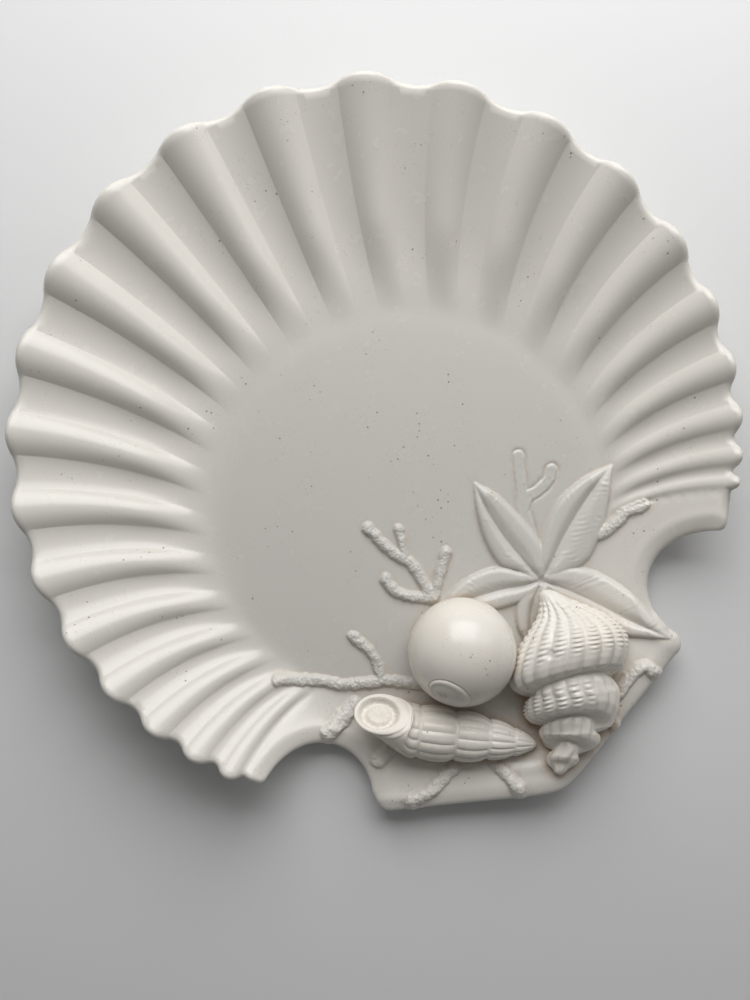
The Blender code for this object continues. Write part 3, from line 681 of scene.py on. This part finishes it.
def whelk(material):
    """Rings from the spire's tip to the siphon. Its hidden side has few points."""
    tip, siphon = lifted(WHELK_TIP, 0.0035), lifted(WHELK_SIPHON, 0.012)
    axis = siphon - tip
    length = np.linalg.norm(axis)
    across = unit(np.cross(axis, (0, 0, 1)))
    over = unit(np.cross(across, axis))
    stations, radii, bows = smooth_profile(WHELK_PROFILE, 0.005)
    seen, hidden = np.linspace(radians(-38), radians(218), 300), np.linspace(radians(226), radians(314), 6)
    turn = np.concatenate([seen, hidden])
    rings = []
    for s in np.linspace(0, WHELK_END, WHELK_RINGS):
        size = np.interp(s, stations, radii)
        fade = float(ease(np.float64((0.94 - s) / 0.3)) * ease(np.float64(s / 0.08)))
        slant = np.interp(s, *WHELK_SLANTS)
        lean = slant * np.cos(turn) + WHELK_TILT * min(1, size / 0.024) * np.sin(turn)
        place = np.clip(s - lean * fade, 0, 1)
        radius = np.interp(place, stations, radii)
        whorl = np.searchsorted(SUTURES, place)
        phase = turn * WHORL_RIBS[whorl] / (2 * pi) + RIB_STARTS[whorl]
        beside = np.abs(phase - np.round(phase)) * 2
        rib = (0.5 + 0.5 * np.cos(pi * beside)) ** 0.7
        from_suture = np.min([np.abs(place - suture) for suture in SUTURES], axis=0)
        rib_height = WHORL_RIB_HEIGHTS[whorl] * MM * ease(from_suture / 0.030) * ease((0.945 - place) / 0.14)
        wander = waves(turn * 2.2, np.full(turn.shape, s * 9.0), 1.0, 3.0)
        cord = (0.5 + 0.5 * np.cos(2 * pi * (place * length / BEAD_PITCH + 0.12 * wander))) ** 0.8
        body_beads = ease((place - 0.53) / 0.08) * ease((0.93 - place) / 0.06)
        spire_beads = ease((place - 0.26) / 0.05) * ease((turn - radians(60)) / 0.5)
        beaded = np.where(whorl == 3, body_beads, np.where(whorl == 2, spire_beads, 0))
        beads = BEAD_RISE * (cord - 0.5) * (0.04 + 0.96 * rib ** 1.5) * beaded * (1 + 0.5 * wander)
        worn = 0.16 * MM * wander
        swell = (rib_height * (rib - 0.60) + beads + worn) * float(ease(np.float64((WHELK_END - s) / 0.08)))
        chip_s, chip_turn = CHIP_PLACE
        chip = ((s - chip_s) * length / (2.4 * MM)) ** 2 + ((turn - chip_turn) * radius / (2.7 * MM)) ** 2
        swell = swell - CHIP_DEPTH * np.exp(-chip ** 2)
        centre = tip + axis * s + across * np.interp(s, stations, bows)
        core = radius - 0.7 * MM * np.minimum(1, radius / 0.016)
        reach = np.maximum(core + swell * np.minimum(1, radius / 0.008), 0.3 * MM)
        way_out = np.cos(turn)[:, None] * across + np.sin(turn)[:, None] * over
        rings.append(centre + reach[:, None] * way_out)
    return turned_shell("whelk", rings, material, WHELK_SEAT)


POINTS_AROUND = 260  # on the tower shell and the moon snail

TOWER_START = (-0.0705, 0.0752)
TOWER_TIP = (-0.0003, 0.0265)
TOWER_MOUTH_SHIFT = np.array((0.0040, 0.0084, 0.0085))
TOWER_MOUTH_FACING = np.array((0.20, 0.62, 0.76))
TOWER_MOUTH_SQUASH = 0.18  # the broken end is this much lower than wide
TOWER_TURN_RUN = 0.22  # share of its length over which it turns from the broken end into its axis
# Stations along the tower shell as a share of its length, and the radius there in mm
TOWER_PROFILE = (
    (0.0, 13.4), (0.010, 14.1), (0.024, 14.3), (0.034, 14.0), (0.042, 13.6), (0.052, 14.1), (0.066, 14.2),
    (0.080, 13.6), (0.12, 13.6), (0.17, 14.0), (0.205, 14.2), (0.238, 13.9), (0.252, 13.4), (0.266, 13.9),
    (0.33, 14.6), (0.39, 14.7), (0.44, 14.0), (0.468, 12.9), (0.480, 12.5), (0.494, 13.0), (0.54, 13.5),
    (0.60, 13.1), (0.65, 12.0), (0.680, 10.8), (0.692, 10.4), (0.706, 10.8), (0.75, 10.5), (0.80, 9.4),
    (0.84, 7.9), (0.856, 7.3), (0.870, 7.3), (0.91, 6.1), (0.95, 4.4), (0.98, 2.8), (1.0, 1.0))
TOWER_SUTURES = (0.252, 0.480, 0.692, 0.858)
TOWER_RIDGES = (15, 14, 14, 16, 13)
TOWER_RIDGE_RISE = 0.8 * MM
TOWER_RINGS = 240
TOWER_SEAT = 2.2 * MM
# The broken end, from its middle out over the rim: radius, depth, and how wrinkled it is, in mm
TOWER_MOUTH = (
    (0.3, 1.9, 0.0), (1.2, 1.8, 0.08), (2.2, 2.0, 0.12), (3.2, 1.7, 0.14), (4.2, 1.9, 0.14),
    (5.2, 1.7, 0.18), (6.2, 2.0, 0.16), (7.1, 2.8, 0.12), (8.0, 3.1, 0.12), (8.9, 3.0, 0.22),
    (9.7, 2.4, 0.26), (10.3, 1.4, 0.16), (10.8, 0.5, 0.05), (11.4, 0.0, 0.0), (12.1, -0.3, 0.0),
    (12.8, -0.2, 0.0))


def tower_shell(material):
    """Rings from the middle of the broken end, over its rim and down to the tip."""
    start, tip = lifted(TOWER_START, 0.010), lifted(TOWER_TIP, 0.004)
    axis = tip - start
    level = np.cross(axis, (0, 0, 1))
    inward = -unit(TOWER_MOUTH_FACING)
    stations, radii = smooth_profile(TOWER_PROFILE, 0.004)
    turn = np.linspace(0, 2 * pi, POINTS_AROUND, endpoint=False)
    rings = []

    def ring(centre, way, radius, squash):
        across = unit(level - way * (level @ way))
        over = unit(np.cross(across, way))
        flat = 1 - TOWER_MOUTH_SQUASH * squash
        way_out = np.cos(turn)[:, None] * across * flat + np.sin(turn)[:, None] * over
        return centre + radius[:, None] * way_out

    mouth = start + TOWER_MOUTH_SHIFT
    for number, (radius, depth, wrinkle) in enumerate(TOWER_MOUTH):
        rays = wrinkle * MM * (np.cos(turn * 15 + 2.1 * number) + 0.6 * np.cos(turn * 23 + 1.3 * number))
        flat_ring = ring(mouth, inward, np.full(turn.shape, radius * MM), 1)
        rings.append(flat_ring + inward * (depth * MM + rays[:, None]))
    for s in np.linspace(0, 1, TOWER_RINGS):
        turned = float(ease(np.float64(s / TOWER_TURN_RUN)))
        way = unit(inward * (1 - turned) + unit(axis) * turned)
        whorl = int(np.searchsorted(TOWER_SUTURES, s))
        radius = np.interp(s, stations, radii)
        phase = turn * TOWER_RIDGES[whorl] / (2 * pi) + 0.37 * whorl
        beside = np.abs(phase - np.round(phase)) * 2
        clear = min([1.0] + [abs(s - suture) / 0.02 for suture in TOWER_SUTURES])
        height = min(TOWER_RIDGE_RISE, radius * 0.08) * float(ease(np.float64((s - 0.11) / 0.06))) * clear
        worn = 0.12 * MM * waves(np.cos(turn) * 3, np.sin(turn) * 3, 1.0, s * 12)
        reach = np.full(turn.shape, radius) + height * (0.35 - beside ** 2.4) + worn * min(1, s / 0.1)
        centre = start + axis * s + TOWER_MOUTH_SHIFT * (1 - turned)
        rings.append(ring(centre, way, reach, 1 - turned))
    return turned_shell("tower_shell", rings, material, TOWER_SEAT)


SNAIL_RADIUS = 0.0289
SNAIL_RINGS = 200
SNAIL_PLACE = (-0.0116, 0.0908)
SNAIL_RISE = 0.0182
SNAIL_SEAT = 2.9 * MM
SPIRE_TURN = radians(117)
SPIRE_TILT = radians(39)
SPIRE_START = radians(14.5)  # how far the last suture starts from the spire's middle
SPIRE_GROWTH = 5.5  # per turn


def moon_snail(material):
    """A round globe. Its spiral suture winds out of the spire and dies away down the body."""
    centre = lifted(SNAIL_PLACE, SNAIL_RISE)
    way = np.array((-sin(SPIRE_TURN) * cos(SPIRE_TILT), cos(SPIRE_TURN) * cos(SPIRE_TILT), sin(SPIRE_TILT)))
    across = unit(np.cross(way, (0, 0, 1)))
    over = unit(np.cross(across, way))
    turn = np.linspace(0, 2 * pi, POINTS_AROUND, endpoint=False)
    rings = []
    for k in range(1, SNAIL_RINGS):
        angle = pi * (k / SNAIL_RINGS) ** 1.3
        place = np.log(angle / SPIRE_START) / np.log(SPIRE_GROWTH) - turn / (2 * pi)
        nearest = np.round(place)
        last_turn = 1 - ease((turn - 0.90 * pi) / (0.5 * pi))
        shown = np.where(nearest < 0, 1.0, np.where(nearest > 0, 0.0, last_turn))
        shown = shown * float(ease(np.float64((angle - radians(1.5)) / radians(2))))
        off = place - nearest
        size = min(1.0, 0.3 + angle / SPIRE_START)
        width = max(0.022, 0.35 * MM / (SNAIL_RADIUS * angle * np.log(SPIRE_GROWTH)))
        groove = 0.50 * np.exp(-(off / width) ** 2) * shown * size
        # Each whorl swells just inside its suture
        swell = 0.50 * np.exp(-((off + 0.11) / 0.10) ** 2) * shown * size
        apex = 0.7 * float(ease(np.float64(1 - angle / (1.6 * SPIRE_START))))
        radius = SNAIL_RADIUS + (swell - groove + apex) * MM
        sideways = np.cos(turn)[:, None] * across + np.sin(turn)[:, None] * over
        outwards = (radius * sin(angle))[:, None] * sideways
        rings.append(centre + (radius * cos(angle))[:, None] * way + outwards)
    return turned_shell("moon_snail", rings, material, SNAIL_SEAT)


# Materials
class Wire:
    """A socket in shader maths."""

    def __init__(self, bench, socket):
        self.bench, self.socket = bench, socket

    def __add__(self, other):
        return self.bench.add("Math", {"operation": "ADD"}, {0: self, 1: other})

    def __mul__(self, other):
        return self.bench.add("Math", {"operation": "MULTIPLY"}, {0: self, 1: other})

    __radd__ = __add__
    __rmul__ = __mul__


class Bench:
    """One material's nodes."""

    def __init__(self, name):
        self.material = bpy.data.materials.new(name)
        self.material.use_nodes = True
        self.nodes = self.material.node_tree.nodes
        self.links = self.material.node_tree.links
        self.shader = self.nodes["Principled BSDF"]

    def feed(self, socket, value):
        if isinstance(value, Wire):
            self.links.new(value.socket, socket)
        else:
            socket.default_value = value

    def add(self, kind, settings=None, inputs=None, output=0):
        node = self.nodes.new("ShaderNode" + kind)
        for name, value in (settings or {}).items():
            setattr(node, name, value)
        for name, value in (inputs or {}).items():
            self.feed(node.inputs[name], value)
        return Wire(self, node.outputs[output])

    def between(self, value, low, high):
        """0 at low, 1 at high, soft between."""
        settings = {"interpolation_type": "SMOOTHSTEP"}
        return self.add("MapRange", settings, {"Value": value, "From Min": low, "From Max": high})

    def mix(self, factor, first, second):
        settings = {"data_type": "RGBA"}
        return self.add("Mix", settings, {0: factor, 6: first, 7: second}, 2)

    def noise(self, place, scale, detail=2.0):
        return self.add("TexNoise", None, {"Vector": place, "Scale": scale, "Detail": detail})

    def cells(self, place, scale):
        return self.add("TexVoronoi", None, {"Vector": place, "Scale": scale}, "Distance")

    def painted(self, name):
        """A value that each point of the mesh carries."""
        return self.add("Attribute", {"attribute_name": name}, None, "Fac")

    def distance(self, place, spot):
        return self.add("VectorMath", {"operation": "DISTANCE"}, {0: place, 1: spot}, "Value")


# The well's colour is a greyer glaze, darkened further as painted shade
WELL_GLAZE_AND_SHADE = (0.60, 0.58, 0.54, 1)
DISH_GLAZE = (0.72, 0.69, 0.635, 1)
SHELL_GLAZE = (0.78, 0.73, 0.655, 1)
SHELL_CREAM = (0.81, 0.775, 0.715, 1)
# Brown of a real glaze stain, also used as painted shade in crevices and beside the low relief
STAIN_AND_SHADE = (0.47, 0.345, 0.23, 1)
SPECK = (0.13, 0.10, 0.08, 1)
FLOOR_COLOUR = (0.74, 0.74, 0.74, 1)
# Marks of wear: place and reach in metres, and how dark each is
MARKS = (
    ((-0.1410, 0.1213, 0.040), 0.0022, 0.75), ((-0.1385, 0.1183, 0.040), 0.0022, 0.8),
    ((-0.1358, 0.1150, 0.040), 0.0020, 0.75), ((-0.1335, 0.1116, 0.039), 0.0018, 0.6),
    ((0.1538, -0.0648, 0.034), 0.0022, 0.7), ((0.1108, -0.0323, 0.007), 0.0016, 0.6),
    ((0.0974, -0.0363, 0.006), 0.0015, 0.5), ((0.0522, -0.1873, 0.012), 0.0022, 0.8),
    ((0.0270, -0.0990, 0.009), 0.0012, 0.5),
)


def glaze(name, colour, cream, well=False):
    """A glossy glaze that runs from one colour to another: in clouds, or from the well out to the walls. The
    well's darker colour is partly painted shade.
    """
    bench = Bench(name)
    place = bench.add("TexCoord", None, None, "Object")
    clouds = bench.noise(place, 22.0, 3.0)
    if well:
        # The well is darker than the walls: partly a greyer glaze, partly painted shade
        level = bench.add("VectorMath", {"operation": "MULTIPLY"}, {0: place, 1: (1, 1, 0)})
        away = bench.distance(level, (0, -WELL_SHIFT, 0))
        tint = bench.mix(bench.between(away + 0.02 * clouds, 0.104, 0.142), colour, cream)
    else:
        tint = bench.mix(bench.between(clouds, 0.35, 0.7), colour, cream)
    grain = bench.noise(place, 240.0, 4.0)
    # Painted shade and brown stain where pieces meet and beside the low relief; the same amount also roughens
    # the glaze
    stain_and_shade_amount = bench.between(bench.painted("stain_and_shade") * (0.45 + 1.0 * grain), 0.10, 0.95)
    tint = bench.mix(stain_and_shade_amount * 0.85, tint, STAIN_AND_SHADE)
    rare = bench.noise(place, 60.0, 2.0)
    dust = bench.cells(place, 620.0)
    speck = bench.between(bench.cells(place, 230.0), 0.16, 0.07) * bench.between(rare, 0.56, 0.66)
    speck = speck + 0.45 * bench.between(dust, 0.20, 0.08) * bench.between(rare, 0.50, 0.60)
    for spot, reach, darkness in MARKS:
        away = bench.distance(place, spot) + 0.0012 * grain
        speck = speck + darkness * bench.between(away, reach, 0.45 * reach)
    tint = bench.mix(speck * 0.8, tint, SPECK)
    bench.feed(bench.shader.inputs["Base Color"], tint)
    wear = bench.noise(place, 90.0, 3.0)
    coral = bench.painted("coral")
    bench.feed(bench.shader.inputs["Roughness"], 0.17 + 0.16 * wear + 0.25 * stain_and_shade_amount + 0.15 * coral)
    height = bench.noise(place, 420.0, 2.0) * 0.15 + bench.noise(place, 45.0, 2.0) + coral * dust * 4.0
    bump = bench.add("Bump", None, {"Strength": 0.3, "Distance": 0.0004, "Height": height})
    bench.feed(bench.shader.inputs["Normal"], bump)
    return bench.material


def floor_material():
    bench = Bench("pale table")
    bench.shader.inputs["Base Color"].default_value = FLOOR_COLOUR
    bench.shader.inputs["Roughness"].default_value = 0.8
    return bench.material


# Set and lights
FLOOR_REACH = 3.0
FLOOR_GAP = 0.0002


def stage_floor():
    reach = FLOOR_REACH
    points = [(-reach, -reach, 0), (reach, -reach, 0), (reach, reach, 0), (-reach, reach, 0)]
    floor = object_from("table", points, [(0, 1, 2, 3)], floor_material(), flat=True)
    floor.location.z = -FLOOR_GAP


CAMERA_ROLL = radians(28.5)
CAMERA_HEIGHT = 0.5055
CAMERA_PLACE = (-0.0143, -0.0259)
LENS, SENSOR_WIDTH = 43.2, 36  # mm
VIEW_RIGHT = Vector((cos(CAMERA_ROLL), -sin(CAMERA_ROLL), 0))
VIEW_UP = Vector((sin(CAMERA_ROLL), cos(CAMERA_ROLL), 0))
# Each lamp: its name, offset, size and power
LAMPS = (
    ("key", (0.04, 0.70, 0.62), (1.0, 0.78), 10.4),
    ("left fill", (-1.1, 0.3, 0.6), (0.7, 0.9), 0.25),
    ("right fill", (0.9, 0.5, 0.7), (0.4, 0.6), 1.1),
)
ROOM_LIGHT = 0.14


def camera():
    data = bpy.data.cameras.new("camera")
    data.lens = LENS
    data.sensor_width = SENSOR_WIDTH
    data.sensor_fit = "HORIZONTAL"
    data.clip_start = 0.01
    obj = bpy.data.objects.new("camera", data)
    obj.location = (*CAMERA_PLACE, CAMERA_HEIGHT)
    obj.rotation_euler = (0, 0, -CAMERA_ROLL)
    bpy.context.scene.collection.objects.link(obj)
    bpy.context.scene.camera = obj


def soft_light(name, offset, size, power):
    """A wide lamp that looks at the platter. Its offset is in the camera's terms: right, up, near."""
    right, up, near = offset
    data = bpy.data.lights.new(name, "AREA")
    data.shape = "RECTANGLE"
    data.size, data.size_y = size
    data.energy = power
    obj = bpy.data.objects.new(name, data)
    place = VIEW_RIGHT * right + VIEW_UP * up + Vector((0, 0, near))
    obj.location = place
    obj.rotation_euler = (-place).to_track_quat("-Z", "Y").to_euler()
    bpy.context.scene.collection.objects.link(obj)


def lights():
    for lamp in LAMPS:
        soft_light(*lamp)
    world = bpy.data.worlds.new("room")
    bpy.context.scene.world = world
    world.use_nodes = True
    background = world.node_tree.nodes["Background"].inputs
    background["Color"].default_value = (1, 1, 1, 1)
    background["Strength"].default_value = ROOM_LIGHT


STAIN_AND_SHADE_REACH = 12 * MM  # how far the stain and painted shade spread over the platter and over a shell, and the stain on the snail's spire
SHELL_STAIN_AND_SHADE_REACH = 5 * MM
APEX_STAIN_REACH = 3.4 * MM
RELIEF_STAIN_AND_SHADE, SHELL_STAIN_AND_SHADE, APEX_STAIN = 0.38, 0.8, 0.55  # how strong the stain and painted shade are beside the relief and on a shell, and the stain on the spire, where 1 is full


def mark(piece, name, values):
    """Gives the first points of a piece these values, and the rest 0."""
    values = np.concatenate([values, np.zeros(len(piece.data.vertices) - len(values))])
    layer = piece.data.attributes.new(name, "FLOAT", "POINT")
    layer.data.foreach_set("value", np.asarray(values, np.float32))


def contact(piece, others, reach):
    """1 where a piece touches others, falling to 0 at this reach."""
    values = np.zeros(len(piece.data.vertices))
    for other in others:
        tree = BVHTree.FromObject(other, bpy.context.evaluated_depsgraph_get())
        for k, vertex in enumerate(piece.data.vertices):
            found = tree.find_nearest(vertex.co, reach)
            if found[0] is not None:
                values[k] = max(values[k], 1 - found[3] / reach)
    return values


def apex_stain(snail):
    """Brown glaze has gathered in the middle of the moon snail's spire."""
    spots = np.array([vertex.co for vertex in snail.data.vertices])
    return np.exp(-(np.linalg.norm(spots - spots[0], axis=1) / APEX_STAIN_REACH) ** 2)


def stain_and_shade(platter, shells, snail, reach):
    """Painted shade and brown glaze stain gather where pieces meet, and a little beside the low relief."""
    # Painted shade, with some stain, in a band just outside the leaves and corals
    beside = np.exp(-((reach - 0.5 * MM) / (2.6 * MM)) ** 2) * np.clip(1 + reach / (0.7 * MM), 0, 1)
    # Painted shade and stain in the crevices where the shells meet the platter
    gathered_stain_and_shade = contact(platter, shells, STAIN_AND_SHADE_REACH) ** 2
    gathered_stain_and_shade[:len(reach)] = np.maximum(gathered_stain_and_shade[:len(reach)], RELIEF_STAIN_AND_SHADE * beside)
    mark(platter, "stain_and_shade", gathered_stain_and_shade)
    for shell in shells:
        others = [platter] + [other for other in shells if other is not shell]
        # Painted shade and stain where a shell meets the platter or another shell
        gathered_stain_and_shade = contact(shell, others, SHELL_STAIN_AND_SHADE_REACH) ** 2 * SHELL_STAIN_AND_SHADE
        if shell is snail:
            gathered_stain_and_shade = gathered_stain_and_shade + APEX_STAIN * apex_stain(shell)
        mark(shell, "stain_and_shade", gathered_stain_and_shade)


def main():
    plain = glaze("white glaze", WELL_GLAZE_AND_SHADE, DISH_GLAZE, well=True)
    cream = glaze("cream glaze", SHELL_GLAZE, SHELL_CREAM)
    points, faces, reach, coral = platter_mesh()
    platter = object_from("platter", points, faces, plain)
    snail = moon_snail(cream)
    shells = [whelk(cream), snail, tower_shell(cream)]
    bpy.context.view_layer.update()
    stain_and_shade(platter, shells, snail, reach)
    mark(platter, "coral", coral)
    for piece in [platter] + shells:
        dress(piece)
    stage_floor()
    camera()
    lights()
    bpy.context.scene.view_settings.view_transform = "Standard"


main()
